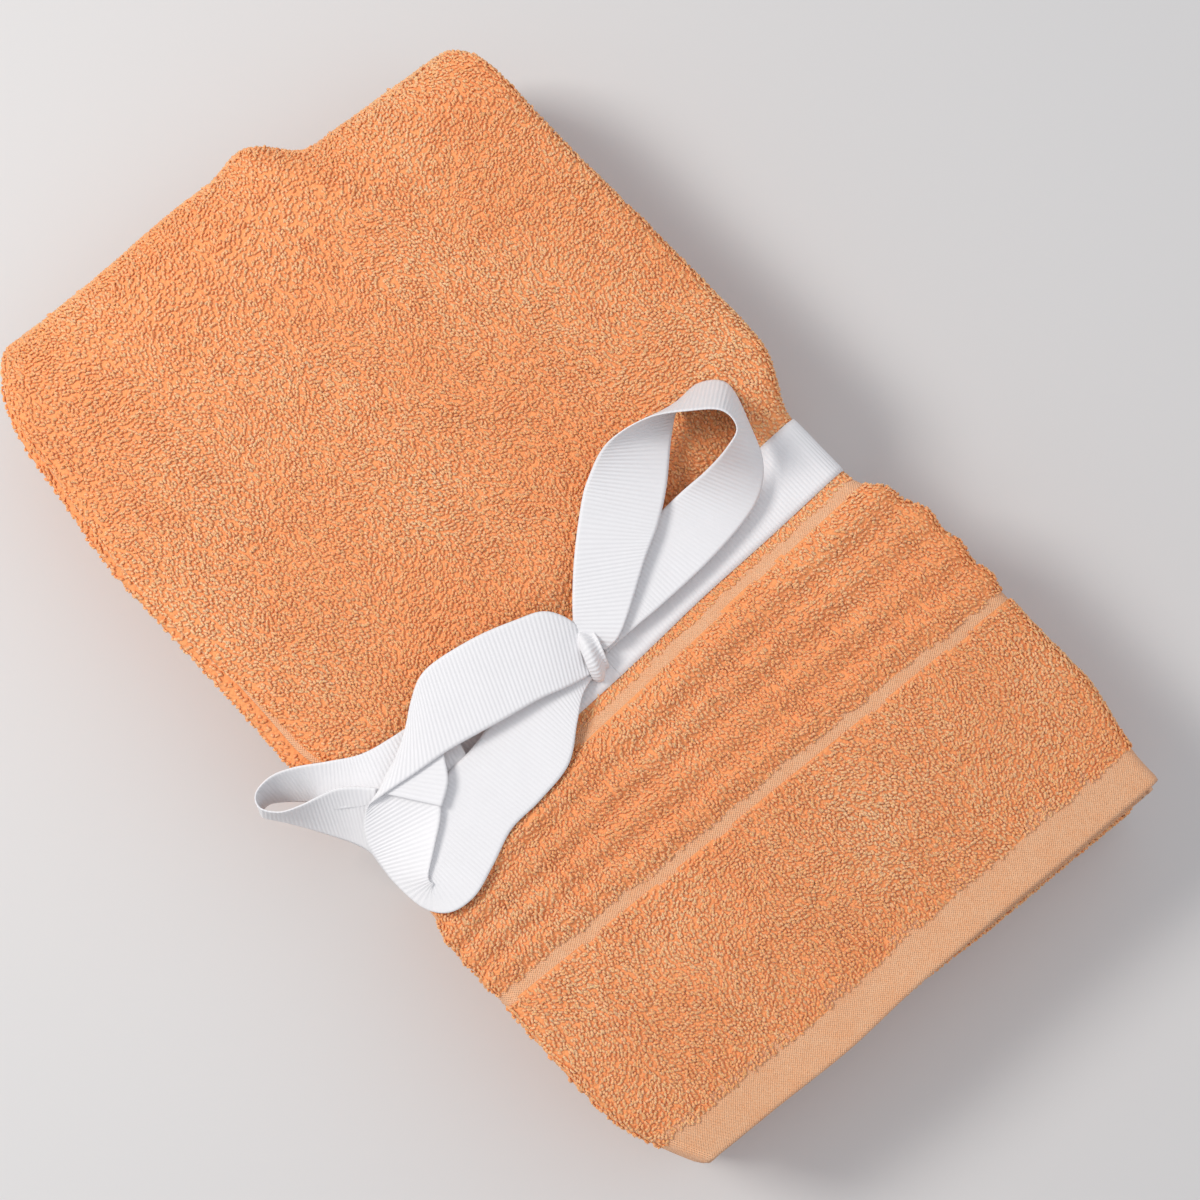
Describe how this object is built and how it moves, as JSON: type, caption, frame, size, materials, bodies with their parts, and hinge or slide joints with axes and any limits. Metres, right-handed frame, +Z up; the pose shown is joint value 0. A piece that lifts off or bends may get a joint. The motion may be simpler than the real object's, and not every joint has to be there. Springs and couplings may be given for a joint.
{
  "type": "bath towel set",
  "caption": "Folded terry bath towel with a smaller towel and a washcloth between its folds, tied with a flat grosgrain ribbon and a bow.",
  "frame": {"origin": "middle of the bath towel's underside, the face that the bundle rests on", "axes": "+X along the bundle towards the bath towel's hem, +Y towards its long fold, +Z up"},
  "size_m": [0.3452, 0.2074, 0.0842],
  "materials": {
    "terry_pile": "uncut cotton terry loops, matt, soft nap",
    "flat_weave": "flat woven cotton hem and stripes, fine twill, matt",
    "grosgrain_ribbon": "cross-ribbed polyester grosgrain, soft satin sheen"
  },
  "bodies": {
    "bath_towel": {"bath_towel_lower_half": "terry_pile", "bath_towel_end_fold": "terry_pile", "bath_towel_middle_panel": "terry_pile", "bath_towel_middle_hem": "flat_weave", "bath_towel_top_panel": "terry_pile", "woven_stripe_near_ribbon": "flat_weave", "ribbed_pile_band": "terry_pile", "woven_stripe_near_hem": "flat_weave", "top_selvedge": "flat_weave"},
    "hem_flap": {"hem_flap_panel": "terry_pile", "hem_flap_hem": "flat_weave", "hem_flap_selvedge": "flat_weave"},
    "hand_towel": {"hand_towel_body": "terry_pile", "hand_towel_hem": "flat_weave"},
    "washcloth": {"washcloth_body": "terry_pile", "washcloth_hem": "flat_weave"},
    "ribbon": {"ribbon_band_top": "grosgrain_ribbon", "ribbon_band_underside": "grosgrain_ribbon", "ribbon_band_far_side": "grosgrain_ribbon", "ribbon_band_near_side": "grosgrain_ribbon", "ribbon_knot": "grosgrain_ribbon"},
    "far_bow": {"bow_loop_far": "grosgrain_ribbon"},
    "near_bow": {"bow_loop_near": "grosgrain_ribbon", "bow_loop_side": "grosgrain_ribbon", "ribbon_tail": "grosgrain_ribbon"}
  },
  "joints": [
    {"name": "ribbon_slide", "type": "slide", "parent": "bath_towel", "child": "ribbon", "axis": [1, 0, 0], "range_m": [0, 0.21]},
    {"name": "far_loop_lift", "type": "hinge", "parent": "ribbon", "child": "far_bow", "pos_m": [0.0182, 0.0006, 0.0687], "axis": [1, 0, 0], "range_deg": [0, 70]},
    {"name": "near_loop_lift", "type": "hinge", "parent": "ribbon", "child": "near_bow", "pos_m": [0.0182, -0.0096, 0.0687], "axis": [-1, 0, 0], "range_deg": [0, 60]},
    {"name": "hem_flap_lift", "type": "hinge", "parent": "bath_towel", "child": "hem_flap", "pos_m": [0.08585, 0, 0.0612], "axis": [-0.0797, -0.9968, 0], "range_deg": [0, 75]},
    {"name": "hand_towel_slide", "type": "slide", "parent": "bath_towel", "child": "hand_towel", "axis": [1, 0, 0], "range_m": [0, 0.32]},
    {"name": "washcloth_slide", "type": "slide", "parent": "bath_towel", "child": "washcloth", "axis": [1, 0, 0], "range_m": [0, 0.32]}
  ]
}
